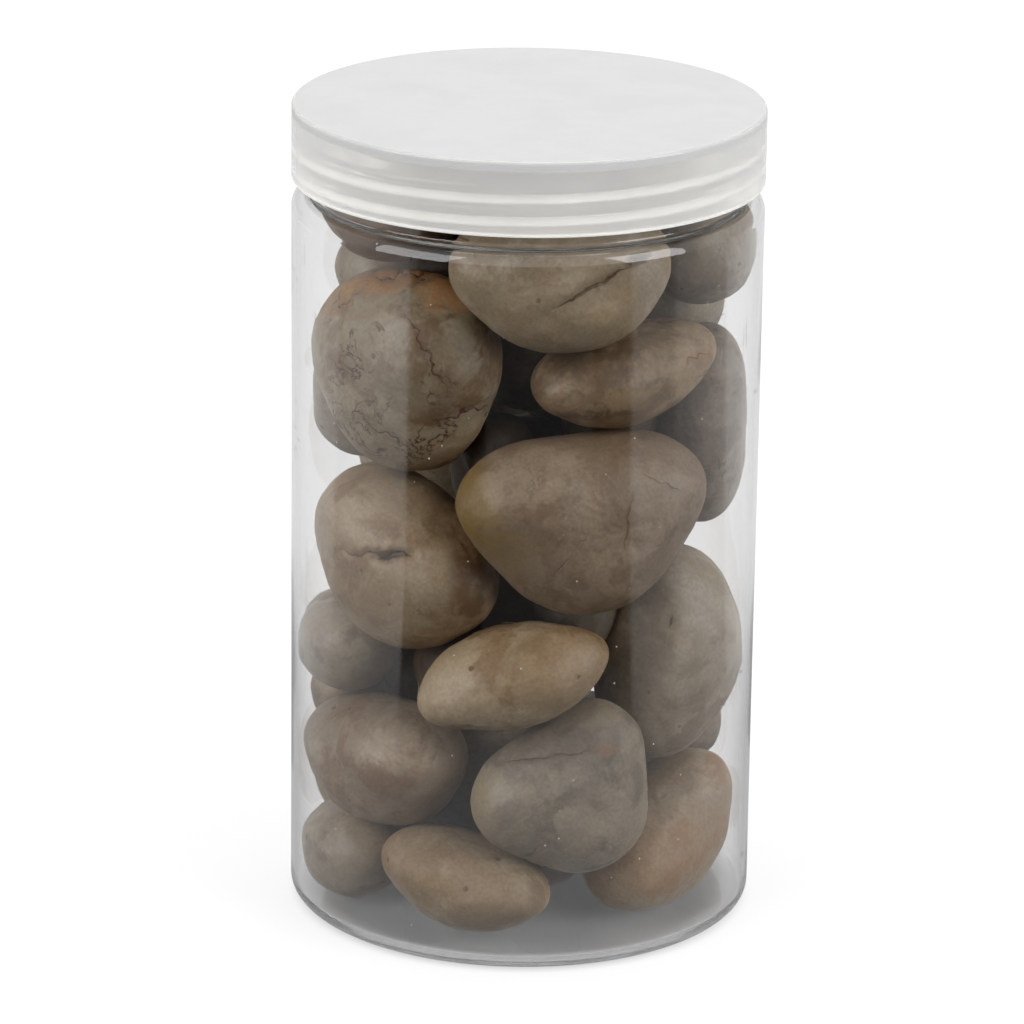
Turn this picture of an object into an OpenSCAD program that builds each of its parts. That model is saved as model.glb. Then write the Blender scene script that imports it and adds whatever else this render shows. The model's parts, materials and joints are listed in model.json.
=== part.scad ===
// Screw-top storage jar with a frosted lid, filled with polished river pebbles.
// Millimetres, +Z up. The origin is the centre of the standing ring under the base.

/* [Jar] */

// Outside diameter of the jar's straight body
body_d = 85; // [84:0.5:88]
// Height of the whole closed jar, from the table to the top of the lid
total_h = 150; // [149:1:160]
// Thickness of the body's wall
wall = 1; // [0.8:0.1:1.2]
// Thickness of the floor
floor_t = 1.5; // [1.2:0.1:2]
// Rounding where the wall turns into the base and into the shoulder
heel_r = 3; // [2.5:0.5:4]
// How far the middle of the base is pushed up
push_up = 3.5; // [2:0.5:4]

/* [Neck] */

// Outside diameter of the neck between its threads
neck_d = 78.8; // [78:0.1:79]
// Thickness of the neck's wall
neck_wall = 1.2; // [1:0.1:1.5]
// Bare height between the shoulder and the lid's lower rim
neck_gap = 2.5; // [2:0.5:4]

/* [Lid] */

// Height of the lid
lid_h = 13.5; // [13:0.5:16]
// Thickness of the lid's top plate
lid_top_t = 1.3; // [1:0.1:2]
// Thickness of the lid's skirt
skirt_t = 1.5; // [1.2:0.1:1.6]
// Rounding of the lid's upper edge
lid_edge_r = 0.6; // [0.5:0.1:1.3]
// Thickness of the foam disc under the lid
liner_t = 1.2; // [1:0.1:1.4]

/* [Thread] */

// Rise of the thread in one turn
pitch = 4; // [4:0.5:5]
// Height of each thread above its wall
thread_h = 1.1; // [0.9:0.1:1.1]
// Width of a thread along the axis, at its root
thread_root_w = 1.8; // [1.6:0.1:1.8]
// Width of a thread along the axis, at its crest
thread_crest_w = 0.7; // [0.5:0.1:0.8]
// Turns of thread on the neck
neck_turns = 1.75; // [1.25:0.25:1.75]
// Turns of thread in the lid
lid_turns = 1.5; // [1:0.25:1.5]

/* [Show] */

// Which sub-part to draw

/* [Hidden] */

$fn = 96;
arc_steps = 6;            // straight pieces in each rounded corner
dome_steps = 10;          // straight pieces across the pushed-up base
body_r = body_d / 2;
neck_r = neck_d / 2;
bore_r = neck_r - neck_wall;
ring_r = 35;              // where the standing ring turns into the pushed-up middle
lid_z = total_h - lid_h;  // lower rim of the closed lid
shoulder_z = lid_z - neck_gap;
mouth_z = total_h - lid_top_t - liner_t;
skirt_r = body_r - skirt_t;
seat_gap = 0.1;           // running gap above the liner and below it
liner_edge_gap = 0.5;     // gap between the liner and the lid's skirt
pebble_fn = 20;           // sides of the lobes a pebble is drawn round
thread_embed = 0.5;       // how far each thread is rooted into its wall
thread_steps = 48;        // straight pieces in one turn of thread
run_out = 20;             // degrees over which a thread grows to its full height
neck_thread_z = lid_z + 1.1;  // height where the neck's thread begins
lid_thread_drop = 1.5;    // lid thread's height below the neck thread it pulls on
lid_thread_start = 180;   // degrees along the helix where the lid's thread begins

// Each lobe of a pebble: its centre, its reach along the face and its reach through the thickness,
// all as parts of half the pebble's size.
round_form = [[0.2, 0.16, 0.06, 0.8, 0.94], [-0.22, 0.12, -0.08, 0.78, 0.9],
    [0.04, -0.2, 0.02, 0.8, 0.94]];
egg_form = [[-0.3, 0.04, 0, 0.7, 0.9], [0.38, 0.06, 0.06, 0.6, 0.8], [0, -0.12, -0.04, 0.86, 0.96]];
wedge_form = [[-0.36, 0.3, 0.04, 0.64, 0.92], [0.36, 0.32, -0.06, 0.62, 0.88],
    [0.04, -0.36, 0, 0.64, 0.94]];
long_form = [[-0.48, -0.1, 0.06, 0.52, 0.8], [0.5, 0.12, -0.04, 0.5, 0.76], [0, 0.04, 0, 0.92, 0.98]];
block_form = [[-0.36, -0.3, 0.1, 0.62, 0.86], [0.36, -0.34, -0.06, 0.6, 0.86],
    [0.34, 0.36, 0.08, 0.6, 0.86], [-0.38, 0.34, -0.08, 0.6, 0.86]];

cream = [0.72, 0.67, 0.57];
grey = [0.6, 0.58, 0.54];
taupe = [0.56, 0.5, 0.42];
tan = [0.62, 0.52, 0.42];
brown = [0.36, 0.29, 0.24];
plum = [0.45, 0.42, 0.42];

// One row per pebble: its place as an angle round the jar from the front, a distance from the
// axis and a height; then how its face turns from straight outward, leans and rolls; then its
// length, width and thickness, its form and its colour. A positive angle is to the right.
pebbles = [
    [-49, 28, 106, 14, 0, 0, 39, 38, 26, round_form, cream],
    [12, 28, 126, 0, -14, 0, 40, 28, 22, round_form, grey],
    [42, 26, 106.5, -10, 0, 8, 37, 20, 22, egg_form, cream],
    [80, 31, 125, 0, 0, 0, 24, 20, 20, round_form, grey],
    [85, 32, 92, 0, 0, 90, 40, 22, 18, egg_form, plum],
    [22, 28, 80, -4, 0, 0, 48, 34, 24, wedge_form, taupe],
    [-47, 28, 71, 12, 0, -25, 40, 35, 25, egg_form, tan],
    [-82, 32, 50, 10, 0, 0, 27, 17, 18, round_form, grey],
    [72, 28, 50, 0, 0, 80, 40, 31, 25, round_form, grey],
    [-3, 31, 52, 0, 0, 15, 37, 20, 20, long_form, cream],
    [-57, 29, 31, 16, 0, 0, 36, 24, 24, round_form, tan],
    [17, 30, 29, 0, 0, 30, 35, 31, 20, wedge_form, grey],
    [66, 28, 16, -18, 0, 35, 36, 25, 22, egg_form, tan],
    [110, 33, 11, 0, 0, 0, 19, 18, 16, round_form, taupe],
    [-72, 32, 11, 20, 0, 0, 24, 18, 18, round_form, grey],
    [-18, 30, 13, 0, 0, -12, 32, 18, 21, egg_form, cream],
    [-119, 27.5, 115, 0, 0, 0, 25, 18, 20, round_form, grey],
    [-66, 27, 132, 0, 0, 0, 28, 16, 22, egg_form, brown],
    [113, 29, 111, 0, 0, 0, 24, 17, 20, round_form, grey],
    [112, 29, 30, 0, 0, 0, 26, 17, 20, round_form, plum],
    [-90, 2, 31, 0, 0, 0, 28, 24, 24, round_form, grey],
    [161, 24, 17, 0, 0, 0, 32, 27, 30, egg_form, grey],
    [-124, 27, 17, 0, 0, 0, 34, 28, 26, round_form, cream],
    [147, 26, 51, 0, 0, 0, 38, 30, 28, block_form, taupe],
    [-137, 27, 46, 0, 0, 0, 32, 30, 24, round_form, grey],
    [135, 27, 80, 0, 0, 0, 34, 28, 24, egg_form, tan],
    [-151, 26, 77, 0, 0, 0, 37, 30, 26, round_form, cream],
    [-104, 30, 94, 0, 0, 0, 24, 23, 19, wedge_form, grey],
    [178, 26, 107, 0, 0, 0, 38, 28, 26, egg_form, taupe],
    [134, 26, 130, 0, 0, 0, 32, 20, 23, round_form, grey],
    [-154, 26, 131, 0, 0, 0, 32, 20, 23, egg_form, tan],
    [0, -2, 55, 0, 0, 0, 26, 24, 24, round_form, grey],
    [0, 0, 81, 0, 0, 0, 26, 24, 24, egg_form, taupe],
    [0, 0, 106, 0, 0, 0, 26, 24, 24, round_form, cream],
    [0, 0, 130, 0, 0, 0, 26, 20, 22, egg_form, grey],
    [147, 13.5, 92, 0, 0, 0, 14.5, 14, 13, round_form, tan],
    [-77, 14.5, 120, 0, 0, 0, 12.5, 12, 12, round_form, brown],
    [-63, 14, 14, 0, 0, 0, 17.5, 17, 16, round_form, plum],
    [-39, 17.5, 47.5, 0, 0, 0, 17, 16, 16, round_form, brown],
    [71, 16, 93, 0, 0, 0, 16, 15.5, 15, round_form, brown],
    [15, 14.5, 15, 0, 0, 0, 17, 16.5, 16, round_form, plum],
    [31, 18.5, 59, 0, 0, 0, 12.5, 12, 12, round_form, grey],
    [-20, 15.5, 90, 0, 0, 0, 12, 11.5, 11.5, round_form, brown],
    [175, 34, 32.5, 0, 0, 0, 14, 13.5, 13, round_form, cream],
    [-101, 33, 36, 0, 0, 0, 13, 12.5, 12, round_form, taupe],
];

function pebble_name(i) = str("pebble_", i < 9 ? "0" : "", i + 1);

// Points of a rounded corner about c, from angle a0 to angle a1.
function arc(c, r, a0, a1) =
    [for (i = [0 : arc_steps]) let (a = a0 + (a1 - a0) * i / arc_steps) c + r * [cos(a), sin(a)]];

// The pushed-up middle of the base, a smooth swell from the ring to the axis, lifted by z.
function dome(z, rise, from, to) =
    [for (i = [from : to])
        let (r = ring_r * abs(i) / dome_steps) [r, z + rise * (1 + cos(180 * r / ring_r)) / 2]];

// Corners of a thread's section at one station: two in the wall, two at the crest, which are on
// the outside for side = 1 and on the inside for side = -1.
function thread_section(root_r, side, grow) = [
    [root_r - side * thread_embed, -thread_root_w / 2],
    [root_r - side * thread_embed, thread_root_w / 2],
    [root_r + side * thread_h * grow, thread_crest_w / 2],
    [root_r + side * thread_h * grow, -thread_crest_w / 2]];

// Height of a thread along its length: it grows over the run-out at both ends.
function growth(a, a_end) = max(0.05, min(1, a / run_out, (a_end - a) / run_out));

module helical_thread(root_r, side, turns, start_angle, start_z) {
    a_end = 360 * turns;
    stations = ceil(thread_steps * turns);
    points = [for (i = [0 : stations])
        let (a = a_end * i / stations, t = start_angle + a)
        for (p = thread_section(root_r, side, growth(a, a_end)))
            [p[0] * cos(t), p[0] * sin(t), start_z + pitch * a / 360 + p[1]]];
    sides = [for (i = [0 : stations - 1], k = [0 : 3])
        let (a = 4 * i + k, b = 4 * i + (k + 1) % 4)
        for (face = [[a, a + 4, b], [b, a + 4, b + 4]])
            side > 0 ? face : [face[2], face[1], face[0]]];
    first = [[0, 1, 2], [0, 2, 3]];
    last = [for (f = first) [for (k = f) 4 * stations + k]];
    ends = concat(first, [for (f = last) [f[2], f[1], f[0]]]);
    polyhedron(points, concat(sides, [for (f = ends) side > 0 ? f : [f[2], f[1], f[0]]]));
}

// Clear bottle with a thin wall, a rounded heel and shoulder, and a threaded neck.
module jar_body() {
    inner_heel_r = heel_r - wall;
    heel_c = [body_r - heel_r, heel_r];
    inner_heel_c = [body_r - heel_r, floor_t + inner_heel_r];
    top_c = [body_r - heel_r, shoulder_z - heel_r];
    outline = concat(
        dome(0, push_up, 0, dome_steps),
        arc(heel_c, heel_r, -90, 0),
        arc(top_c, heel_r, 0, 90),
        [[neck_r, shoulder_z], [neck_r, mouth_z], [bore_r, mouth_z], [bore_r, shoulder_z - wall]],
        arc(top_c, inner_heel_r, 90, 0),
        arc(inner_heel_c, inner_heel_r, 0, -90),
        dome(floor_t, push_up, -dome_steps, 0));
    color([0.9, 0.93, 0.95, 0.35])
    union() {
        rotate_extrude() polygon(outline);
        helical_thread(neck_r, 1, neck_turns, 0, neck_thread_z);
    }
}

// Frosted lid in one piece: a flat top, a plain skirt and a thread inside it.
module lid() {
    edge_c = [body_r - lid_edge_r, total_h - lid_edge_r];
    outline = concat(
        [[skirt_r, lid_z], [body_r, lid_z]],
        arc(edge_c, lid_edge_r, 0, 90),
        [[0, total_h], [0, total_h - lid_top_t], [skirt_r, total_h - lid_top_t]]);
    lid_thread_z = neck_thread_z + pitch * lid_thread_start / 360 - lid_thread_drop;
    color([0.88, 0.88, 0.87, 0.8])
    union() {
        rotate_extrude() polygon(outline);
        helical_thread(skirt_r, -1, lid_turns, lid_thread_start, lid_thread_z);
    }
}

// White foam disc that the lid presses on the mouth.
module liner() {
    color([0.93, 0.93, 0.92])
    translate([0, 0, mouth_z + seat_gap])
        cylinder(r = skirt_r - liner_edge_gap, h = liner_t - 2 * seat_gap);
}

// One pebble: the smooth skin round three or four rounded lobes.
module pebble(row) {
    half = [row[6], row[7], row[8]] / 2;
    place = [row[1] * sin(row[0]), -row[1] * cos(row[0]), row[2]];
    color(row[10])
    translate(place)
        rotate([0, 0, row[0] + row[3]])
            rotate([90 + row[4], 0, 0])
                rotate([0, 0, row[5]])
                    hull()
                        for (lobe = row[9])
                            translate([lobe[0] * half[0], lobe[1] * half[1], lobe[2] * half[2]])
                                scale([lobe[3] * half[0], lobe[3] * half[1], lobe[4] * half[2]])
                                    sphere(r = 1, $fn = pebble_fn);
}

jar_body();
lid();
liner();
for (i = [0 : len(pebbles) - 1])
    pebble(pebbles[i]);
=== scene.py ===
import bpy
import json
import math
import numpy as np
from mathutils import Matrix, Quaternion, Vector


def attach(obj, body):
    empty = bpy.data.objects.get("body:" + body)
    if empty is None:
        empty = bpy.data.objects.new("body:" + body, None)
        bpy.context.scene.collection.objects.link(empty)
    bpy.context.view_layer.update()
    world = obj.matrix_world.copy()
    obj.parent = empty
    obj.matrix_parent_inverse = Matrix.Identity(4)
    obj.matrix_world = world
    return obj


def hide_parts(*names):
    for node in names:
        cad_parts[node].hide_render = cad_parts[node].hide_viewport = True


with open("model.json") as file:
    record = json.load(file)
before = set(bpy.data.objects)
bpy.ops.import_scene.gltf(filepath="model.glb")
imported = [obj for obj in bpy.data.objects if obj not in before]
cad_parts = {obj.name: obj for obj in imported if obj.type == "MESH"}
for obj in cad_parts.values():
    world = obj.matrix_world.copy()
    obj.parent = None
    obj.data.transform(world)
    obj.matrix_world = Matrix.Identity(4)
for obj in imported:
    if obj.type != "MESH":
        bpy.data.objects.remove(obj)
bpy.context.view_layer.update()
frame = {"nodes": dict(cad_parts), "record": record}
mm = 0.001
print("frame loaded:", len(frame["nodes"]), "nodes")

# Camera first: a long lens a metre away, looking a little down on the jar
cameraView = {
    "lens": 195.63,
    "distance": 1.0166,
    "elevation": 18.085,  # degrees above the horizon
    "aim": (-0.00217, 0.0, 0.0730),
    "pivot": (0.0, 0.0, 0.07486),  # the distance is measured from here
    "roll": 0.767,
}

lift = math.radians(cameraView["elevation"])
viewFront = Vector((0, -math.cos(lift), math.sin(lift)))
viewRight = Vector((1, 0, 0))
viewUp = Vector((0, math.sin(lift), math.cos(lift)))

camera = bpy.data.objects.new("camera", bpy.data.cameras.new("camera"))
bpy.context.scene.collection.objects.link(camera)
camera.data.lens = cameraView["lens"]
camera.data.sensor_width = 36
camera.data.clip_start = 0.05
camera.data.clip_end = 50
camera.location = Vector(cameraView["pivot"]) + viewFront * cameraView["distance"]
towards = Vector(cameraView["aim"]) - camera.location
camera.rotation_mode = "QUATERNION"
camera.rotation_quaternion = towards.to_track_quat("-Z", "Y") @ Quaternion(
    (0, 0, 1), math.radians(cameraView["roll"])
)
bpy.context.scene.camera = camera


# Helpers for node trees
def addNode(tree, kind, inputs=None, **settings):
    made = tree.nodes.new(kind)
    for key, value in settings.items():
        setattr(made, key, value)
    for key, value in (inputs or {}).items():
        if isinstance(value, bpy.types.NodeSocket):
            tree.links.new(value, made.inputs[key])
        else:
            made.inputs[key].default_value = value
    return made


def mathOf(tree, operation, a, b=0.0):
    return addNode(tree, "ShaderNodeMath", {0: a, 1: b}, operation=operation).outputs[0]


def times(tree, *values):
    product = values[0]
    for value in values[1:]:
        product = mathOf(tree, "MULTIPLY", product, value)
    return product


def plus(tree, *values):
    total = values[0]
    for value in values[1:]:
        total = mathOf(tree, "ADD", total, value)
    return total


def between(tree, share, first, second):
    return addNode(
        tree, "ShaderNodeMix", {0: share, 2: first, 3: second}, data_type="FLOAT"
    ).outputs[0]


def mapped(tree, vector, **inputs):
    return addNode(tree, "ShaderNodeMapping", {"Vector": vector, **inputs}).outputs[0]


def rangeOf(tree, value, low, high, outLow=0.0, outHigh=1.0):
    # soft step from outLow to outHigh while the value goes from low to high
    return addNode(
        tree,
        "ShaderNodeMapRange",
        {0: value, 1: low, 2: high, 3: outLow, 4: outHigh},
        interpolation_type="SMOOTHSTEP",
    ).outputs[0]


def mixOf(tree, factor, first, second, blend="MIX"):
    return addNode(
        tree,
        "ShaderNodeMix",
        {0: factor, 6: first, 7: second},
        data_type="RGBA",
        blend_type=blend,
    ).outputs[2]


def dotOf(tree, vector, direction):
    return addNode(
        tree, "ShaderNodeVectorMath", {0: vector, 1: tuple(direction)}, operation="DOT_PRODUCT"
    ).outputs["Value"]


def noiseOf(tree, where, size, detail=3.0, rough=0.55, warp=0.0):
    # size is the width of the blotches in metres
    return addNode(
        tree,
        "ShaderNodeTexNoise",
        {"Vector": where, "Scale": 1 / size, "Detail": detail, "Roughness": rough, "Distortion": warp},
    ).outputs[0]


def newMaterial(name):
    material = bpy.data.materials.new(name)
    material.use_nodes = True
    material.node_tree.nodes.clear()
    return material, material.node_tree


def finishMaterial(tree, shader):
    addNode(tree, "ShaderNodeOutputMaterial", {"Surface": shader})


def finishClear(tree, plastic, shade):
    # light on its way from a lamp passes straight through, dimmed to this shade
    seeThrough = addNode(tree, "ShaderNodeBsdfTransparent", {"Color": shade})
    path = addNode(tree, "ShaderNodeLightPath")
    mixed = addNode(
        tree, "ShaderNodeMixShader",
        {0: path.outputs["Is Shadow Ray"], 1: plastic.outputs[0], 2: seeThrough.outputs[0]},
    )
    finishMaterial(tree, mixed.outputs[0])


def tone(red, green, blue, warmth=(1.0, 1.0, 1.0)):
    # a colour given on screen, 0 to 255, as the linear value the shader needs
    screen = np.array([red, green, blue]) / 255
    linear = np.where(screen <= 0.04045, screen / 12.92, ((screen + 0.055) / 1.055) ** 2.4)
    return (*[float(x) for x in linear * warmth], 1.0)


# Helpers for meshes
def meshPiece(name, points, faces, materials, body, nodeName, faceMaterial=None):
    # points in mm; faces as an index array of quads; turned outward by the sign of the volume
    faces = np.asarray(faces)
    a, b, c = (points[faces[:, k]] for k in (0, 1, 2))
    volume = np.einsum("ij,ij->i", a, np.cross(b, c)).sum()
    if faces.shape[1] == 4:
        d = points[faces[:, 3]]
        volume += np.einsum("ij,ij->i", a, np.cross(c, d)).sum()
    if volume < 0:
        faces = faces[:, ::-1]
    rows = [list(dict.fromkeys(row)) for row in faces.tolist()]  # a quad at a pole becomes a triangle
    mesh = bpy.data.meshes.new(name)
    mesh.from_pydata((points * mm).tolist(), [], rows)
    mesh.polygons.foreach_set("use_smooth", np.ones(len(mesh.polygons), bool))
    for material in materials:
        mesh.materials.append(material)
    if faceMaterial is not None:
        mesh.polygons.foreach_set("material_index", faceMaterial.astype(np.int32))
    mesh.update()
    piece = bpy.data.objects.new(name, mesh)
    bpy.context.scene.collection.objects.link(piece)
    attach(piece, body)
    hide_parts(nodeName)
    return piece


def linePoints(start, end, count):
    # straight run from start to end, without its last point
    share = np.linspace(0, 1, count, endpoint=False)[:, None]
    return np.array(start) * (1 - share) + np.array(end) * share


def arcPoints(centre, radius, fromAngle, toAngle, count):
    # part of a circle about centre, angles in degrees from the radius towards +Z, without its last point
    angle = np.radians(np.linspace(fromAngle, toAngle, count, endpoint=False))
    return np.stack([centre[0] + radius * np.cos(angle), centre[1] + radius * np.sin(angle)], 1)


def turnedGrid(profile, segments, swell):
    # Each profile point (radius, height) is carried round the axis; its radius grows by
    # swell(angle, radius, height). A point on the axis is one vertex shared by the whole ring.
    angle = np.linspace(0, 2 * np.pi, segments, endpoint=False)
    radius, height = profile[:, :1], profile[:, 1:]
    spread = radius + swell(angle[None, :], radius, height)
    points = np.stack(
        [spread * np.cos(angle), spread * np.sin(angle), height + 0 * spread], -1
    ).reshape(-1, 3)
    rows = len(profile)
    index = np.arange(rows * segments).reshape(rows, segments)
    onAxis = profile[:, 0] < 1e-6
    index[onAxis] = index[onAxis][:, :1]
    after = np.roll(index, -1, axis=1)
    faces = np.stack([index[:-1], after[:-1], after[1:], index[1:]], -1).reshape(-1, 4)
    used, packed = np.unique(faces, return_inverse=True)
    rowOfFace = np.repeat(np.arange(rows - 1), segments)
    return points[used], packed.reshape(-1, 4), rowOfFace


def threadRise(angle, height, thread):
    # Height of a screw thread above its wall: a rounded ridge whose middle climbs by the pitch in each turn,
    # and which grows from nothing over the run-out at both ends.
    best = np.zeros(np.broadcast(angle, height).shape)
    length = thread["turns"] * 360
    for lap in range(int(thread["turns"]) + 2):
        along = np.degrees(angle) - thread["startAngle"] + 360 * lap
        grown = np.clip(np.minimum(along, length - along) / thread["runOut"], 0, 1)
        middle = thread["startHeight"] + thread["pitch"] * along / 360
        away = np.abs(height - middle)
        slope = (thread["rootWidth"] / 2 - away) / (thread["rootWidth"] - thread["crestWidth"]) * 2
        slope = np.clip(slope, 0, 1)
        best = np.maximum(best, thread["height"] * grown * slope * slope * (3 - 2 * slope))
    return best


def waves(points, seed, size, count=20):
    # Soft random field: the mean of many sine waves in seeded directions, each about size mm long
    random = np.random.default_rng(seed)
    direction = random.normal(size=(count, 3))
    direction /= np.linalg.norm(direction, axis=1, keepdims=True)
    length = size * random.uniform(0.7, 1.4, count)
    phase = random.uniform(0, 2 * np.pi, count)
    return np.sin(points @ (direction / length[:, None]).T * 2 * np.pi + phase).sum(1) * math.sqrt(2 / count)


# Clear jar
jar = {
    "tint": (0.90, 0.90, 0.90, 1),
    "shade": (0.95, 0.955, 0.955, 1),
    "gloss": 0.015,  # roughness of the clean wall
    "scratchSize": 0.0008,  # metres across
    "scratchRoughness": 0.16,
    "dustCells": 420.0,  # cells a metre; about one in twelve holds a speck
    "heelWear": 0.2,  # how milky the rounded heel has become from standing
    "refraction": 1.57,
    "waviness": 0.02,  # mm, slow swell of the blown wall
    "pushUp": 3.5,  # mm, the middle of the base above the standing ring
    "standingRadius": 35,  # mm, where the base comes down level
    "segments": 256,
    "thread": {
        "turns": 1.75, "startAngle": 0, "startHeight": 137.6, "pitch": 4, "runOut": 20,
        "rootWidth": 1.8, "crestWidth": 0.7, "height": 1.1,
    },
}


def clearPlastic(look):
    material, tree = newMaterial("clearPlastic")
    where = addNode(tree, "ShaderNodeTexCoord").outputs["Object"]
    upright = mapped(tree, where, Scale=(1, 1, 0.06))
    level = mapped(tree, where, Rotation=(0.2, 0.1, 0.3), Scale=(0.12, 0.12, 1.4))
    scratchUp = rangeOf(tree, noiseOf(tree, upright, look["scratchSize"], 1.0), 0.70, 0.78)
    scratchRound = rangeOf(tree, noiseOf(tree, level, look["scratchSize"], 1.0), 0.71, 0.80)
    worn = rangeOf(tree, noiseOf(tree, where, 0.014, 2.0), 0.50, 0.66)
    scratch = times(tree, mathOf(tree, "MAXIMUM", scratchUp, scratchRound), worn)
    cells = addNode(tree, "ShaderNodeTexVoronoi", {"Vector": where, "Scale": look["dustCells"]})
    lone = rangeOf(tree, dotOf(tree, cells.outputs["Color"], (1, 0, 0)), 0.90, 0.93)
    dust = times(tree, rangeOf(tree, cells.outputs["Distance"], 0.09, 0.05), lone)
    rough = plus(tree, look["gloss"], times(tree, scratch, look["scratchRoughness"]))
    upward = addNode(tree, "ShaderNodeSeparateXYZ", {0: where}).outputs[2]
    standing = times(tree, rangeOf(tree, upward, 0.0032, 0.0004), look["heelWear"])
    milky = mathOf(tree, "MAXIMUM", times(tree, dust, 0.5), standing)
    height = plus(tree, times(tree, scratch, -0.3), noiseOf(tree, where, 0.03, 1.0))
    bump = addNode(tree, "ShaderNodeBump", {"Height": height, "Strength": 0.35, "Distance": 0.00012})
    plastic = addNode(
        tree, "ShaderNodeBsdfPrincipled",
        {
            "Base Color": look["tint"], "Roughness": rough, "IOR": look["refraction"],
            "Transmission Weight": mathOf(tree, "SUBTRACT", 1.0, milky), "Normal": bump.outputs[0],
        },
    )
    finishClear(tree, plastic, look["shade"])
    return material


def baseSwell(radius, low):
    # cosine bell: highest on the axis, level at the standing ring
    return low + jar["pushUp"] * (1 + np.cos(np.pi * radius / jar["standingRadius"])) / 2


# section through the wall, (radius, height) in mm: base, outside, neck, mouth and back down the inside
outerBase = np.linspace(0, jar["standingRadius"], 30, endpoint=False)
innerBase = np.linspace(jar["standingRadius"], 0, 31)
jarProfile = np.concatenate([
    np.stack([outerBase, baseSwell(outerBase, 0)], 1),
    linePoints((35, 0), (39.5, 0), 4),
    arcPoints((39.5, 3), 3, -90, 0, 12),
    linePoints((42.5, 3), (42.5, 131), 60),
    arcPoints((39.5, 131), 3, 0, 80, 12),
    arcPoints((39.9, 134.5), 0.5, -90, -180, 6),
    linePoints((39.4, 134.5), (39.4, 147.1), 78),
    arcPoints((39.0, 147.1), 0.4, 0, 90, 5),
    arcPoints((38.5, 147.2), 0.3, 90, 180, 5),
    linePoints((38.2, 147.2), (38.2, 133.4), 8),
    arcPoints((38.6, 133.4), 0.4, 180, 270, 5),
    arcPoints((39.5, 131), 2, 90, 0, 10),
    linePoints((41.5, 131), (41.5, 3.5), 60),
    arcPoints((39.5, 3.5), 2, 0, -90, 10),
    linePoints((39.5, 1.5), (35, 1.5), 4),
    np.stack([innerBase, baseSwell(innerBase, 1.5)], 1),
])


def jarSwell(angle, radius, height):
    # the thread on the neck's straight wall, and slow sine waves on the outside of the body
    onNeck = (radius > 39.3) & (radius < 39.45) & (height > 134.4)
    thread = threadRise(angle, height, jar["thread"]) * onNeck
    onWall = np.clip((height - 6) / 10, 0, 1) * np.clip((128 - height) / 10, 0, 1) * (radius > 41)
    slow = np.sin(3 * angle + height / 17) + 0.7 * np.sin(5 * angle - height / 11 + 1)
    return thread - jar["waviness"] * (1.7 + slow) * onWall * (radius > 42)


jarPoints, jarFaces, _ = turnedGrid(jarProfile, jar["segments"], jarSwell)
meshPiece("jarShell", jarPoints, jarFaces, [clearPlastic(jar)], "jar", "jar_body")
print("jar shell made:", len(jarFaces), "faces")


# Frosted lid and its foam liner
lid = {
    # haze is the roughness, clear the share of light that goes through, shade how much lamp light gets through
    "plate": {"tint": (0.67, 0.67, 0.674, 1), "haze": 0.62, "clear": 0.2, "shade": 0.5},
    "skirt": {"tint": (0.96, 0.955, 0.935, 1), "haze": 0.13, "clear": 0.58, "shade": 0.8},
    # thread ridges and lower rim, where the plastic is thick
    "ridge": {"tint": (1.0, 0.99, 0.96, 1), "haze": 0.62, "clear": 0.05, "shade": 0.7},
    "refraction": 1.49,
    "segments": 256,
    "thread": {
        "turns": 1.5, "startAngle": 180, "startHeight": 138.1, "pitch": 4, "runOut": 20,
        "rootWidth": 1.8, "crestWidth": 0.7, "height": 1.1,
    },
}


def frostedPlastic(name, look):
    material, tree = newMaterial(name)
    where = addNode(tree, "ShaderNodeTexCoord").outputs["Object"]
    grain = noiseOf(tree, where, 0.0004, 2.0)
    cloud = noiseOf(tree, where, 0.012, 3.0)
    dimmed = tuple(0.97 * t for t in look["tint"][:3]) + (1,)
    colour = mixOf(tree, rangeOf(tree, cloud, 0.35, 0.7), look["tint"], dimmed)
    rough = times(tree, look["haze"], rangeOf(tree, cloud, 0.3, 0.7, 0.9, 1.12))
    slanted = mapped(tree, where, Rotation=(0, 0, 0.7), Scale=(0.1, 1.5, 1))
    scuff = rangeOf(tree, noiseOf(tree, slanted, 0.0009, 1.0), 0.70, 0.80)
    height = plus(tree, grain, times(tree, scuff, -0.8))
    bump = addNode(tree, "ShaderNodeBump", {"Height": height, "Strength": 0.25, "Distance": 0.00006})
    plastic = addNode(
        tree, "ShaderNodeBsdfPrincipled",
        {
            "Base Color": colour, "Roughness": rough, "IOR": lid["refraction"],
            "Transmission Weight": look["clear"], "Normal": bump.outputs[0],
        },
    )
    finishClear(tree, plastic, (look["shade"], look["shade"], look["shade"], 1))
    return material


# section, (radius, height) in mm: top, outside of the skirt, lower rim, inside of the skirt, underside
lidProfile = np.concatenate([
    linePoints((0, 150), (41.9, 150), 24),
    arcPoints((41.9, 149.4), 0.6, 90, 0, 10),
    linePoints((42.5, 149.4), (42.5, 136.8), 26),
    arcPoints((42.2, 136.8), 0.3, 0, -90, 6),
    linePoints((42.2, 136.5), (41.3, 136.5), 3),
    arcPoints((41.3, 136.8), 0.3, -90, -180, 6),
    linePoints((41.0, 136.8), (41.0, 148.4), 72),
    arcPoints((40.7, 148.4), 0.3, 0, 90, 6),
    linePoints((40.7, 148.7), (0, 148.7), 20),
    np.array([[0, 148.7]]),
])


def lidSwell(angle, radius, height):
    # the thread stands inward on the skirt's straight inside
    inside = (np.abs(radius - 41.0) < 0.02) & (height < 148.3)
    return -threadRise(angle, height, lid["thread"]) * inside


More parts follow.
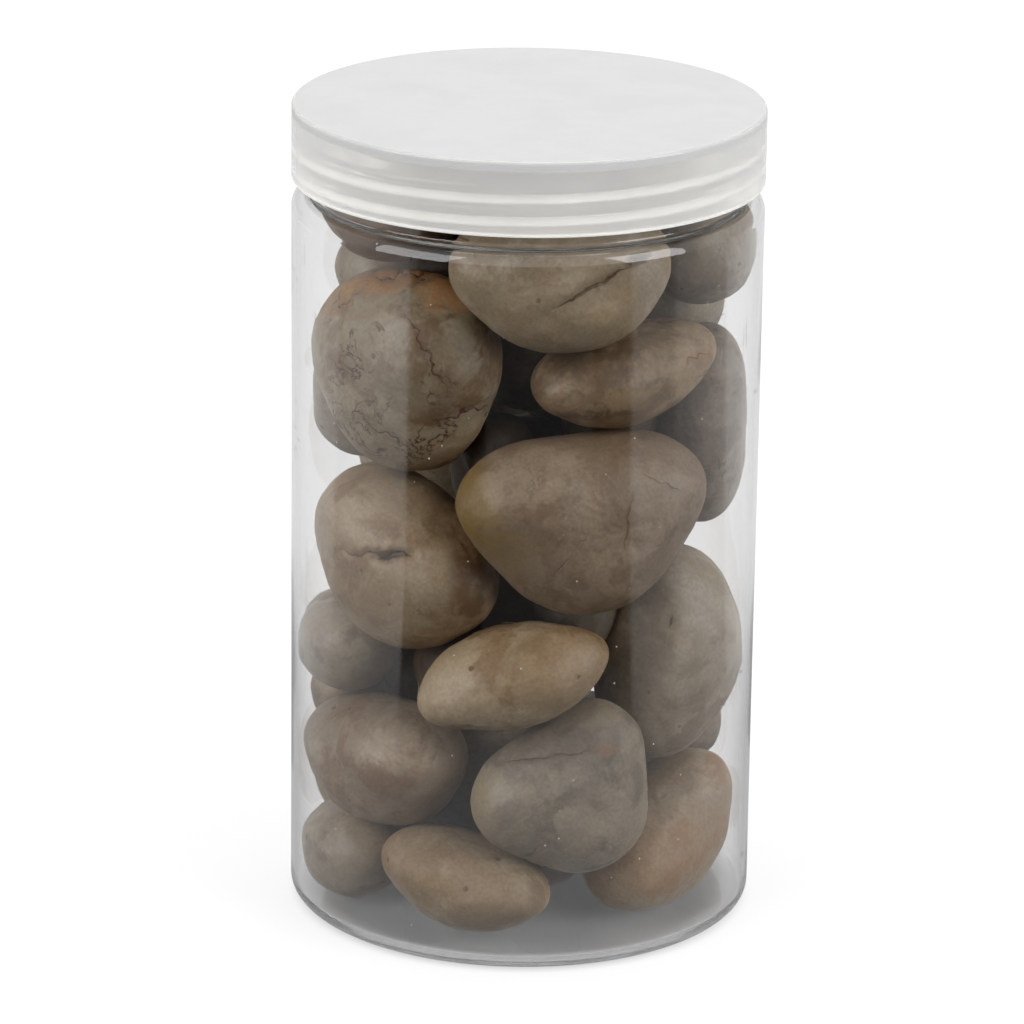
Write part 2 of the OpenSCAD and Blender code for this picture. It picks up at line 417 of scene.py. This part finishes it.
lidPoints, lidFaces, lidRows = turnedGrid(lidProfile, lid["segments"], lidSwell)
lowEnough = lidProfile[:, 1] < 148.65
skirtFace = lowEnough[lidRows] & (lidProfile[lidRows, 0] > 40.6)
faceMiddle = lidPoints[lidFaces].mean(1)
faceReach = np.hypot(faceMiddle[:, 0], faceMiddle[:, 1])
thickFace = skirtFace & ((faceReach < 40.6) | (faceMiddle[:, 2] < 137.0))
skirtFace |= (faceReach > 41.95) & (faceMiddle[:, 2] > 149.6)  # painted highlight: the rounded top edge takes the skirt's lighter plastic, so it shows as a bright line
meshPiece(
    "lidShell", lidPoints, lidFaces,
    [
        frostedPlastic("frostedPlate", lid["plate"]),
        frostedPlastic("frostedSkirt", lid["skirt"]),
        frostedPlastic("frostedRidge", lid["ridge"]),
    ],
    "lid", "lid", np.where(thickFace, 2, skirtFace),
)

liner = {
    "tint": (0.86, 0.86, 0.86, 1), "radius": 40.5, "low": 147.6, "high": 148.6, "edge": 0.25,  # mm
    "segments": 160,
    "cells": 2600.0,  # foam cells a metre
}


def foamMaterial(look):
    material, tree = newMaterial("linerFoam")
    where = addNode(tree, "ShaderNodeTexCoord").outputs["Object"]
    cells = addNode(tree, "ShaderNodeTexVoronoi", {"Vector": where, "Scale": look["cells"]})
    colour = mixOf(
        tree, rangeOf(tree, noiseOf(tree, where, 0.01, 3.0), 0.4, 0.65),
        look["tint"], tuple(0.93 * t for t in look["tint"][:3]) + (1,),
    )
    bump = addNode(
        tree, "ShaderNodeBump",
        {"Height": cells.outputs["Distance"], "Strength": 0.5, "Distance": 0.00015},
    )
    rough = rangeOf(tree, cells.outputs["Distance"], 0.1, 0.7, 0.75, 0.92)
    foam = addNode(
        tree, "ShaderNodeBsdfPrincipled",
        {"Base Color": colour, "Roughness": rough, "Normal": bump.outputs[0]},
    )
    finishMaterial(tree, foam.outputs[0])
    return material


edge = liner["edge"]
linerProfile = np.concatenate([
    linePoints((0, liner["high"]), (liner["radius"] - edge, liner["high"]), 12),
    arcPoints((liner["radius"] - edge, liner["high"] - edge), edge, 90, 0, 6),
    arcPoints((liner["radius"] - edge, liner["low"] + edge), edge, 0, -90, 6),
    linePoints((liner["radius"] - edge, liner["low"]), (0, liner["low"]), 12),
    np.array([[0, liner["low"]]]),
])
linerPoints, linerFaces, _ = turnedGrid(
    linerProfile, liner["segments"], lambda angle, radius, height: 0 * angle * height  # no swell
)
meshPiece("linerDisc", linerPoints, linerFaces, [foamMaterial(liner)], "lid_carrier", "liner")
print("lid and liner made")


# Pebbles. Colours are screen values, 0 to 255. "at" is millimetres right and up of the pebble's middle, seen
# from the front; "turn" is in degrees; "growth" is millimetres added all round.
def stoneKind(main, pale, deep, veins, specks):
    return {"main": main, "pale": pale, "deep": deep, "veins": veins, "specks": specks}


def patch(at, size, turn, colour, strength):
    return {"at": at, "size": size, "turn": turn, "colour": colour, "strength": strength}


def crack(at, turn, length, width, wander, colour, depth):
    # lengths in mm; wander is how far it snakes to the side
    return {
        "at": at, "turn": turn, "length": length, "width": width, "wander": wander, "colour": colour,
        "depth": depth,
    }


stoneKinds = {
    "stone_cream": stoneKind((172, 158, 136), (190, 184, 172), (136, 116, 92), 0.35, 0.2),
    "stone_grey": stoneKind((158, 150, 140), (176, 173, 168), (128, 118, 108), 0.2, 0.3),
    "stone_taupe": stoneKind((150, 136, 120), (168, 158, 146), (120, 102, 82), 0.15, 0.15),
    "stone_tan": stoneKind((164, 144, 122), (180, 168, 152), (134, 108, 82), 0.25, 0.2),
    "stone_brown": stoneKind((120, 100, 82), (142, 124, 106), (84, 62, 46), 0.3, 0.3),
    "stone_plum": stoneKind((140, 130, 126), (158, 150, 148), (108, 96, 92), 0.2, 0.3),
}

pebbles = {
    1: {
        "main": (160, 148, 130), "pale": (176, 173, 162), "deep": (124, 100, 76), "veins": 1.0, "specks": 0.9,
        "veinColour": (84, 54, 34),
        "patches": [
            patch((-2, 16.5), (11, 3.2), 8, (214, 162, 108), 0.65),
            patch((7, 13), (5, 3.6), 0, (220, 168, 114), 0.6),
            patch((-12, 12), (4, 5), 40, (200, 168, 122), 0.5),
            # painted shade: the darker patch right of the middle stands in for the shade across this pebble's
            # right part
            patch((5, -1), (8, 10), 0, (112, 96, 78), 0.55),
            patch((-6, 2), (6, 8), 20, (172, 172, 164), 0.6),
        ],
        "cracks": [
            crack((-1, 16.4), 7, 11, 0.3, 0.5, (110, 56, 26), 0.25),
            crack((4, 2), -62, 12, 0.26, 0.35, (92, 58, 36), 0.15),
            crack((10, -8), 20, 7, 0.34, 0.35, (78, 44, 28), 0.2),
            crack((-3, -12), -30, 8, 0.26, 0.3, (96, 66, 42), 0.1),
        ],
    },
    2: {
        "main": (176, 168, 154), "pale": (192, 188, 182), "deep": (158, 146, 126), "veins": 0.1, "specks": 0.15,
        "cracks": [
            crack((5.5, -2.5), 31, 11, 0.42, 0.12, (84, 62, 42), 0.3),
            crack((-16, 5), -50, 4, 0.22, 0.3, (96, 74, 54), 0.2),
        ],
        "patches": [
            patch((13, 2.5), (3.0, 1.1), 25, (84, 62, 42), 0.9),
            patch((-2, 8.5), (10, 2), 0, (214, 174, 126), 0.7),
            patch((9, -6), (5, 2.6), 31, (196, 184, 158), 0.6),
        ],
    },
    3: {
        # painted shade: the dark patch left of the middle stands in for the shade across this pebble's middle;
        # the main colour is partly the stone's own and partly darkened for the same shade
        "main": (134, 118, 100), "pale": (172, 158, 140), "deep": (100, 82, 64), "veins": 0.5, "specks": 0.2,
        "veinColour": (150, 98, 56),
        "patches": [
            patch((13, 2), (6, 8), 0, (200, 186, 166), 0.7),
            patch((-7, 2), (9, 7), 0, (98, 82, 66), 0.8),
        ],
        "cracks": [
            crack((13, 3), 40, 5, 0.25, 0.6, (158, 98, 50), 0.15),
            crack((15, -1), 65, 4, 0.2, 0.5, (140, 88, 50), 0.1),
        ],
    },
    5: {
        "main": (150, 143, 139), "pale": (172, 167, 165), "deep": (122, 112, 108),
        "patches": [patch((1, -10), (3, 8), 0, (120, 106, 96), 0.6)],
    },
    6: {
        "main": (144, 131, 119), "pale": (170, 160, 150), "deep": (127, 111, 94), "veins": 0.05, "specks": 0.08,
        "patches": [
            patch((-19, 2), (5, 13), 12, (150, 130, 78), 0.75),
            patch((-12, -6), (6, 5), -30, (152, 134, 90), 0.55),
            patch((14, 5), (7, 6), 20, (174, 164, 155), 0.6),
            # painted light: the pale patch on the upper left stands in for the light falling on this pebble's
            # upper-left face
            patch((-8, 8), (9, 6), 15, (180, 172, 160), 0.65),
            patch((2, -8), (8, 5), -10, (172, 163, 154), 0.5),
        ],
        "cracks": [
            crack((-2, -6), 52, 8, 0.2, 0.15, (136, 120, 104), 0.03),
            crack((14, 7), -24, 6, 0.2, 0.15, (134, 116, 98), 0.03),
            crack((8, 0), 84, 7, 0.22, 0.2, (122, 106, 92), 0.05),
        ],
    },
    7: {
        "main": (168, 152, 130), "pale": (184, 172, 156), "deep": (144, 122, 98), "veins": 0.12, "specks": 0.15,
        "patches": [
            patch((12, -6), (6, 8), -20, (98, 74, 48), 0.85),
            patch((-2.5, 0.2), (3.2, 0.9), 4, (70, 46, 34), 0.9),
            patch((3, -6), (5, 7), -10, (190, 186, 178), 0.6),
        ],
        "cracks": [
            crack((-7, 0.3), -2, 8, 0.3, 0.4, (96, 66, 46), 0.3),
            crack((-2.2, 0), 8, 4.2, 0.6, 0.2, (62, 40, 30), 0.9),
        ],
    },
    8: {"growth": 0.8},
    9: {
        "growth": 0.8,
        "main": (170, 163, 154), "pale": (192, 189, 185), "deep": (146, 136, 126),
        "cracks": [crack((0, 5.5), 85, 1.5, 0.35, 0.1, (90, 80, 72), 0.2)],
    },
    10: {
        "main": (180, 164, 142), "pale": (194, 184, 166), "deep": (146, 122, 88), "veins": 0.1, "specks": 0.15,
        "patches": [
            patch((1, 3.5), (9, 3.5), 10, (146, 124, 90), 0.7),
            # painted light: the pale patch on the left stands in for the light falling on this pebble's left
            # side
            patch((-12, -3), (7, 5), 10, (206, 199, 188), 0.65),
            patch((13, 1), (5, 5), 0, (196, 184, 170), 0.6),
        ],
    },
    11: {
        "main": (156, 145, 134), "pale": (180, 173, 164), "deep": (134, 110, 90), "veins": 0.15, "specks": 0.7,
        "veinColour": (112, 72, 52),
    },
    12: {
        "main": (144, 141, 141), "pale": (168, 165, 161), "deep": (124, 121, 119), "veins": 0.1, "specks": 0.15,
        "patches": [
            patch((9, 7), (3, 1.4), 0, (164, 136, 108), 0.45),
            patch((-14, -4), (4, 7), -15, (176, 168, 146), 0.6),
        ],
        "cracks": [
            crack((-3, 5.5), 7, 12, 0.22, 0.12, (112, 104, 98), 0.12),
            crack((-5, -12), 35, 3, 0.3, 0.2, (110, 98, 90), 0.3),
        ],
    },
    13: {
        "growth": 0.8,
        "main": (186, 170, 152), "pale": (202, 194, 184), "deep": (176, 146, 116), "veins": 0.1, "specks": 0.2,
        "patches": [
            patch((-3, -6), (12, 5), 25, (192, 162, 134), 0.45),
            patch((1, 5), (6, 4), 20, (206, 198, 192), 0.6),
        ],
    },
    15: {"specks": 0.8, "pale": (184, 180, 176)},
    16: {
        "growth": 0.8,
        "main": (166, 152, 136), "pale": (184, 175, 162), "deep": (148, 130, 106), "veins": 0.05, "specks": 0.2,
        "patches": [patch((-6, -2), (5, 3), 0, (160, 138, 96), 0.6)],
    },
    22: {"growth": 2.6},
    23: {"growth": 2.0},
    25: {"growth": 2.0},
}

pebbleShape = {
    "frontGrid": 64,  # squares along each of the six faces of the ball, pebbles near the front
    "backGrid": 36,
    "frontPasses": 34,  # rounds of smoothing; the finer grid needs more for the same roundness
    "backPasses": 11,
    "swell": 0.012,  # share of the radius that slow hollows take away
    "swellSize": 24,  # mm across, as are the two sizes below
    "hollows": 0.10,  # mm, hollows a finger can feel
    "hollowSize": 8,
    "grain": 0.02,  # mm, finest unevenness in the mesh
    "grainSize": 2.2,
    "frontCount": 16,
    "count": 45,
    "shadedFrom": 32,  # painted shade: the pebbles that fill the middle, by number, are darker, standing in for the shade inside the packed jar
    "shadedTo": 43,
    "paintedShadeScale": 0.62,
    "frontGrowth": 0.3,  # mm, makes up for what the smoothing takes off
    "hiddenFrom": 20,
    "hiddenGrowth": 1.1,
    "wallReach": 41.3,  # mm from the axis, just inside the wall
    "baseReach": 1.6,  # mm up, just above the base
    "refraction": 1.5,
    "warmth": (0.88, 0.74, 0.57),  # how warm the stones' own colour is
}


def ballGrid(count):
    # Cube of six square grids blown up to a ball: each pair of parameters runs over one face with equal steps
    # of angle, so the squares stay even. Points shared by two faces are merged.
    step = np.tan(np.linspace(-1, 1, count + 1) * np.pi / 4)
    u, v = np.meshgrid(step, step, indexing="ij")
    flat = np.ones_like(u)
    sides = []
    for axis in range(3):
        for sign in (1, -1):
            face = np.empty((count + 1, count + 1, 3))
            face[..., axis] = sign * flat
            face[..., (axis + 1) % 3] = u * sign
            face[..., (axis + 2) % 3] = v
            sides.append(face)
    points = np.concatenate([s.reshape(-1, 3) for s in sides])
    points /= np.linalg.norm(points, axis=1, keepdims=True)
    index = np.arange((count + 1) ** 2).reshape(count + 1, count + 1)
    quad = np.stack([index[:-1, :-1], index[1:, :-1], index[1:, 1:], index[:-1, 1:]], -1).reshape(-1, 4)
    quads = np.concatenate([quad + k * (count + 1) ** 2 for k in range(6)])
    rounded = np.round(points * 1e5).astype(int)
    _, first, same = np.unique(rounded, axis=0, return_index=True, return_inverse=True)
    return points[first], same.ravel()[quads]


def smoothed(values, quads, passes):
    # each pass takes the mean of every square's corners, then of every corner's squares
    weight = np.bincount(quads.ravel(), minlength=len(values))
    for _ in range(passes):
        square = values[quads].mean(1)
        values = np.bincount(quads.ravel(), np.repeat(square, 4), minlength=len(values)) / weight
    return values


snakeRate = (1.1, 2.9)  # how fast a crack snakes, in radians a millimetre
crackReach = 6  # mm behind its middle at which a crack stops


def markDirections(turn):
    # along the mark, across it and towards the front
    level, rise = math.cos(math.radians(turn)), math.sin(math.radians(turn))
    return viewRight * level + viewUp * rise, viewUp * level - viewRight * rise, viewFront


def spotOn(points, centre, at):
    # the surface point that lies at this offset from the middle, seen from the front
    away = points - centre
    right, up = away @ np.array(viewRight), away @ np.array(viewUp)
    ahead = away @ np.array(viewFront)
    middle = [(right.max() + right.min()) / 2, (up.max() + up.min()) / 2]
    miss = (right - middle[0] - at[0]) ** 2 + (up - middle[1] - at[1]) ** 2
    return points[np.argmin(miss + 1e3 * (ahead < 0))]


def pebblePoints(name, number, look, directions, quads, passes):
    # Distance from the pebble's middle to its flat-sided solid in each direction: the nearest of the planes
    # of its faces along that ray. Smoothing rounds the flats off; slow and fine random hollows and the cracks
    # are cut in. What would stand out past the wall or the base is laid flat against it.
    mesh = frame["nodes"][name].data
    co = np.empty(len(mesh.vertices) * 3)
    mesh.vertices.foreach_get("co", co)
    mesh.calc_loop_triangles()
    corner = np.empty(len(mesh.loop_triangles) * 3, np.int32)
    mesh.loop_triangles.foreach_get("vertices", corner)
    triangles = co.reshape(-1, 3)[corner.reshape(-1, 3)] / mm
    normal = np.cross(triangles[:, 1] - triangles[:, 0], triangles[:, 2] - triangles[:, 0])
    area = np.linalg.norm(normal, axis=1)
    solid = area > 1e-4
    normal, triangles, area = normal[solid] / area[solid, None], triangles[solid], area[solid]
    centre = (triangles.mean(1) * area[:, None]).sum(0) / area.sum()
    offset = np.einsum("ij,ij->i", normal, triangles[:, 0] - centre)
    facing = np.maximum(directions @ normal.T, 1e-6)
    radius = smoothed((offset / facing).min(1), quads, passes)
    ball = directions * radius.mean()
    slow = waves(ball, 100 + number, pebbleShape["swellSize"])
    radius *= 1 - pebbleShape["swell"] * (1 + np.clip(slow, -1.5, 1.5))
    usual = pebbleShape["hiddenGrowth"] if number >= pebbleShape["hiddenFrom"] else pebbleShape["frontGrowth"]
    radius += look.get("growth", usual)
    hollow = waves(ball, 200 + number, pebbleShape["hollowSize"])
    radius -= pebbleShape["hollows"] * np.clip(hollow, -1, 1.5)
    radius -= pebbleShape["grain"] * waves(ball, 300 + number, pebbleShape["grainSize"])
    points = centre + directions * radius[:, None]
    reach = np.hypot(points[:, 0], points[:, 1])
    points[:, :2] *= np.minimum(1, pebbleShape["wallReach"] / reach)[:, None]
    low = pebbleShape["baseReach"]
    points[:, 2] = np.maximum(points[:, 2], baseSwell(np.minimum(reach, jar["standingRadius"]), low))
    for mark in look.get("cracks", []):
        mark["point"] = spotOn(points, centre, mark["at"])
        away = points - mark["point"]
        along, across, ahead = (away @ np.array(axis) for axis in markDirections(mark["turn"]))
        snake = np.sin(along * snakeRate[0] + number) + 0.5 * np.sin(along * snakeRate[1] + 2 * number)
        groove = np.exp(-(((across - mark["wander"] * snake) / (0.5 + mark["width"])) ** 2))
        groove *= np.clip(1.2 - np.abs(along) / mark["length"], 0, 1) * (ahead > -crackReach)
        points -= directions * (mark["depth"] * groove)[:, None]
    for mark in look.get("patches", []):
        mark["point"] = spotOn(points, centre, mark["at"])
    return points


def markAxes(tree, where, mark):
    # distances from the mark's middle, in mm: along it, across it and towards the front
    away = addNode(
        tree, "ShaderNodeVectorMath", {0: where, 1: tuple(mark["point"] * mm)}, operation="SUBTRACT"
    ).outputs[0]
    return [times(tree, dotOf(tree, away, axis), 1 / mm) for axis in markDirections(mark["turn"])]


def addPatch(tree, colour, where, breakUp, spot, shown):
    # a soft ellipse with a ragged edge, fading out towards the pebble's far side
    along, across, ahead = markAxes(tree, where, spot)
    long, wide = spot["size"]
    parts = [
        mathOf(tree, "DIVIDE", value, size)
        for value, size in ((along, long), (across, wide), (ahead, max(long, wide) * 1.2))
    ]
    reach = plus(tree, *[times(tree, part, part) for part in parts])
    ragged = plus(tree, reach, rangeOf(tree, breakUp, 0.3, 0.7, -0.5, 0.7))
    return mixOf(tree, rangeOf(tree, ragged, 1.7, 0.0, 0, spot["strength"]), colour, shown)


def addCrack(tree, colour, where, moved, breakUp, number, split, shown):
    # a snaking line that narrows to both ends, with a faint stain beside it; also gives its depth for the bump
    along, across, ahead = markAxes(tree, where, split)
    first = mathOf(tree, "SINE", plus(tree, times(tree, along, snakeRate[0]), float(number)))
    second = mathOf(tree, "SINE", plus(tree, times(tree, along, snakeRate[1]), 2.0 * number))
    drift = times(tree, plus(tree, first, times(tree, second, 0.5)), split["wander"])
    ragged = 0.2 + 0.5 * split["wander"]
    jitter = rangeOf(tree, noiseOf(tree, moved, 0.0025, 4.0), 0.2, 0.8, -ragged, ragged)
    line = mathOf(tree, "ABSOLUTE", plus(tree, mathOf(tree, "SUBTRACT", across, drift), jitter))
    length = mathOf(tree, "ABSOLUTE", along)
    narrowing = rangeOf(tree, length, split["length"] * 0.2, split["length"] * 1.05, 0, split["width"] * 1.2)
    line = plus(tree, line, narrowing)
    sharp = rangeOf(tree, line, split["width"], split["width"] * 0.35)
    stain = rangeOf(tree, line, split["width"] * 4 + 0.6, 0.0, 0, 0.35)
    reach = rangeOf(tree, length, split["length"] * 1.05, split["length"] * 0.7)
    near = times(tree, reach, rangeOf(tree, ahead, -crackReach - 1, -crackReach + 1))
    uneven = rangeOf(tree, breakUp, 0.36, 0.58, 0.15, 0.9)
    share = times(tree, mathOf(tree, "MAXIMUM", sharp, stain), near, uneven)
    return mixOf(tree, share, colour, shown), times(tree, sharp, near, -1.2)


stoneMarks = {
    "blotchSize": 0.016,  # sizes in metres
    "cloudSize": 0.009,
    "breakUpSize": 0.004,
    "grainSize": 0.0007,
    "veinSize": 0.011,
    "veinPlaceSize": 0.013,
    "pitCells": 330.0,  # cells a metre that may hold a pit
    "bumpStrength": 0.6,
    "bumpDepth": 0.00035,
}


def stoneMaterial(name, number, look):
    material, tree = newMaterial(name)

    def stone(screenColour):
        return tone(*screenColour, pebbleShape["warmth"])

    where = addNode(tree, "ShaderNodeTexCoord").outputs["Object"]
    moved = mapped(  # every pebble has its own part of the noise
        tree, where, Location=(0.31 * number, 0.17 * number, 0.05 * number),
        Rotation=(0.4 * number, 0.7 * number, 0),
    )
    blotch = noiseOf(tree, moved, stoneMarks["blotchSize"], 4.0, 0.55, 0.8)
    cloud = noiseOf(tree, moved, stoneMarks["cloudSize"], 5.0, 0.6, 0.3)
    grain = noiseOf(tree, moved, stoneMarks["grainSize"], 3.0, 0.6)
    breakUp = noiseOf(tree, moved, stoneMarks["breakUpSize"], 3.0)
    colour = mixOf(tree, rangeOf(tree, blotch, 0.43, 0.58), stone(look["main"]), stone(look["pale"]))
    colour = mixOf(tree, rangeOf(tree, cloud, 0.50, 0.63, 0, 0.8), colour, stone(look["deep"]))
    for spot in look.get("patches", []):
        colour = addPatch(tree, colour, where, breakUp, spot, stone(spot["colour"]))

    # thin veins where a noise crosses its middle value, in some places only
    veins, specks = look["veins"], look["specks"]
    veinNoise = noiseOf(tree, moved, stoneMarks["veinSize"], 6.0, 0.62, 0.5)
    offMiddle = mathOf(tree, "ABSOLUTE", mathOf(tree, "SUBTRACT", veinNoise, 0.5))
    veinPlaces = noiseOf(tree, moved, stoneMarks["veinPlaceSize"], 2.0)
    veinPlaces = rangeOf(tree, veinPlaces, 0.62 - 0.2 * veins, 0.75 - 0.15 * veins)
    vein = times(tree, rangeOf(tree, offMiddle, 0.012, 0.002), veinPlaces, min(1.0, 0.35 + veins))
    veinColour = stone(look.get("veinColour", tuple(0.62 * x for x in look["deep"])))
    colour = mixOf(tree, vein, colour, veinColour)

    # small round pits in picked cells
    cells = addNode(tree, "ShaderNodeTexVoronoi", {"Vector": moved, "Scale": stoneMarks["pitCells"]})
    draw = dotOf(tree, cells.outputs["Color"], (1, 0, 0))
    picked = rangeOf(tree, draw, 0.93 - 0.25 * specks, 0.95 - 0.25 * specks)
    pit = times(
        tree, rangeOf(tree, cells.outputs["Distance"], 0.24, 0.10), picked, rangeOf(tree, breakUp, 0.42, 0.6)
    )
    colour = mixOf(tree, times(tree, pit, 0.75), colour, veinColour)

    height = plus(
        tree, times(tree, grain, 0.25), times(tree, cloud, 0.8),
        times(tree, mathOf(tree, "MAXIMUM", pit, vein), -0.6),
    )
    for split in look.get("cracks", []):
        colour, groove = addCrack(tree, colour, where, moved, breakUp, number, split, stone(split["colour"]))
        height = plus(tree, height, groove)
    shade = rangeOf(tree, grain, 0.25, 0.75, 0.86, 1.12)
    shadeColour = addNode(tree, "ShaderNodeCombineColor", {0: shade, 1: shade, 2: shade}).outputs[0]
    bump = addNode(
        tree, "ShaderNodeBump",
        {"Height": height, "Strength": stoneMarks["bumpStrength"], "Distance": stoneMarks["bumpDepth"]},
    )
    surface = addNode(
        tree, "ShaderNodeBsdfPrincipled",
        {
            "Base Color": mixOf(tree, 1.0, colour, shadeColour, "MULTIPLY"),
            "Roughness": plus(tree, rangeOf(tree, cloud, 0.3, 0.7, 0.40, 0.58), times(tree, pit, 0.25)),
            "IOR": pebbleShape["refraction"], "Normal": bump.outputs[0],
        },
    )
    finishMaterial(tree, surface.outputs[0])
    return material


slotOf = {part["node"]: part["material_slot"] for part in frame["record"]["subparts"]}
frontBall = ballGrid(pebbleShape["frontGrid"])
backBall = ballGrid(pebbleShape["backGrid"])
for number in range(1, pebbleShape["count"] + 1):
    nodeName = "pebble_%02d" % number
    look = dict(stoneKinds[slotOf[nodeName]])
    look.update(pebbles.get(number, {}))
    # painted shade: the middle pebbles' colours are darkened
    if pebbleShape["shadedFrom"] <= number <= pebbleShape["shadedTo"]:
        for key in ("main", "pale", "deep"):
            look[key] = tuple(pebbleShape["paintedShadeScale"] * x for x in look[key])
    nearFront = number <= pebbleShape["frontCount"]
    directions, quads = frontBall if nearFront else backBall
    passes = pebbleShape["frontPasses"] if nearFront else pebbleShape["backPasses"]
    surface = pebblePoints(nodeName, number, look, directions, quads, passes)
    meshPiece(
        "pebble%02dStone" % number, surface, quads, [stoneMaterial("stone%02d" % number, number, look)],
        "jar", nodeName,
    )
print("pebbles made:", pebbleShape["count"])


# Floor, world and soft lights
stage = {
    "floorHalf": 4,  # metres
    "floorDrop": 0.0002,  # how far the floor lies under the jar's foot
    "floorColour": (0.30, 0.30, 0.30, 1),
    "floorGlow": 0.72,  # only what the camera sees, so the stones aren't lit from below
    "farGlow": 0.32,  # more of it further off, where the lamps don't reach
    "fill": 0.21,  # even light from all round
    "lamps": [
        {"name": "leftBox", "at": (-0.98, -0.64, 0.55), "size": (0.9, 1.0), "power": 10.8},
        {"name": "rightBox", "at": (1.05, -0.54, 0.55), "size": (0.8, 1.0), "power": 12.2},
        {"name": "topBox", "at": (0.0, 0.15, 1.3), "size": (1.1, 1.1), "power": 10.0},
        {"name": "backBox", "at": (0.25, 1.25, 0.5), "size": (1.0, 0.8), "power": 5.5, "mirrored": False},
    ],
    "lampAim": (0, 0, 0.07),
    # what the wall mirrors from the floor round the jar, each level from its bearing on:
    # (degrees from the front, to the right; brightness)
    "mirrorBands": [
        (-180, 0.8), (-100, 0.55), (-56, 0.0), (-18, 0.08), (31, 0.0), (50, 0.36), (74, 0.5), (110, 0.8),
    ],
    "bandBlur": 1.2,  # degrees
    "closeMirror": 0.45,  # brightness mirrored from the floor right beside the jar
    "ledLight": 0.6,  # brightness at the end of a long way inside the plastic
    "skyGlow": 1.05,  # brightness seen above the floor
    "skyMirror": 0.7,  # brightness mirrored from above the floor
}


def seenBy(tree):
    # rays that look at the stage straight or through plastic, rays that have been mirrored, and rays led along
    # inside the plastic by many reflections, which gather light from all round
    path = addNode(tree, "ShaderNodeLightPath")
    mirrored = mathOf(tree, "MINIMUM", path.outputs["Glossy Depth"], 1.0)
    through = mathOf(tree, "MAXIMUM", path.outputs["Is Camera Ray"], path.outputs["Is Transmission Ray"])
    looked = times(tree, through, mathOf(tree, "SUBTRACT", 1.0, mirrored))
    return looked, mirrored, rangeOf(tree, path.outputs["Glossy Depth"], 1.5, 3.0)


floorMesh = bpy.data.meshes.new("floor")
half = stage["floorHalf"]
floorMesh.from_pydata(
    [(-half, -half, 0), (half, -half, 0), (half, half, 0), (-half, half, 0)], [], [(0, 1, 2, 3)]
)
floor = bpy.data.objects.new("floor", floorMesh)
floor.location.z = -stage["floorDrop"]
bpy.context.scene.collection.objects.link(floor)
floorMaterial, tree = newMaterial("floorPaint")
where = addNode(tree, "ShaderNodeTexCoord").outputs["Object"]
flatWhere = addNode(tree, "ShaderNodeVectorMath", {0: where, 1: (1, 1, 0)}, operation="MULTIPLY").outputs[0]
outward = addNode(tree, "ShaderNodeVectorMath", {0: flatWhere}, operation="LENGTH").outputs["Value"]
parts = addNode(tree, "ShaderNodeSeparateXYZ", {0: where})
bearing = mathOf(tree, "ARCTAN2", parts.outputs[0], times(tree, parts.outputs[1], -1.0))
bearing = times(tree, bearing, 180 / math.pi)
bands = stage["mirrorBands"][0][1]
for start, level in stage["mirrorBands"][1:]:
    step = rangeOf(tree, bearing, start - stage["bandBlur"], start + stage["bandBlur"])
    bands = between(tree, step, bands, level)
close = rangeOf(tree, outward, 0.11, 0.24)
bands = between(tree, close, stage["closeMirror"], bands)
looked, mirrored, led = seenBy(tree)
bands = between(tree, led, bands, stage["ledLight"])
glow = times(tree, rangeOf(tree, outward, 0.035, 0.0435, 0.10, 1.0), stage["floorGlow"])  # painted shadow: the floor's glow falls to a tenth under the jar
glow = plus(tree, glow, rangeOf(tree, outward, 0.8, 1.6, 0, stage["farGlow"]))
glow = plus(tree, times(tree, glow, looked), times(tree, bands, mirrored))
paint = addNode(
    tree, "ShaderNodeBsdfPrincipled",
    {
        "Base Color": mixOf(tree, mirrored, stage["floorColour"], (0, 0, 0, 1)),
        "Roughness": 0.9, "Specular IOR Level": 0.0,
        "Emission Color": (1, 1, 1, 1), "Emission Strength": glow,
    },
)
finishMaterial(tree, paint.outputs[0])
floorMesh.materials.append(floorMaterial)

for lamp in stage["lamps"]:
    light = bpy.data.lights.new(lamp["name"], "AREA")
    light.shape = "RECTANGLE"
    light.size, light.size_y = lamp["size"]
    light.energy = lamp["power"]
    shown = bpy.data.objects.new(lamp["name"], light)
    shown.location = lamp["at"]
    shown.rotation_mode = "QUATERNION"
    aim = Vector(stage["lampAim"]) - Vector(lamp["at"])
    shown.rotation_quaternion = aim.to_track_quat("-Z", "Y")
    shown.visible_camera = False
    shown.visible_transmission = False
    shown.visible_glossy = lamp.get("mirrored", True)
    bpy.context.scene.collection.objects.link(shown)

world = bpy.data.worlds.new("studio")
bpy.context.scene.world = world
world.use_nodes = True
tree = world.node_tree
tree.nodes.clear()
looked, mirrored, _ = seenBy(tree)
strength = between(tree, looked, stage["fill"], stage["skyGlow"])
strength = between(tree, mirrored, strength, stage["skyMirror"])
sky = addNode(tree, "ShaderNodeBackground", {"Color": (1, 1, 1, 1), "Strength": strength})
addNode(tree, "ShaderNodeOutputWorld", {"Surface": sky.outputs[0]})

scene = bpy.context.scene
scene.view_settings.view_transform = "Standard"
scene.cycles.max_bounces = 18
scene.cycles.transmission_bounces = 16
scene.cycles.glossy_bounces = 12
scene.cycles.transparent_max_bounces = 24
scene.cycles.diffuse_bounces = 4
scene.cycles.caustics_refractive = False
scene.cycles.use_denoising = True
print("stage made")
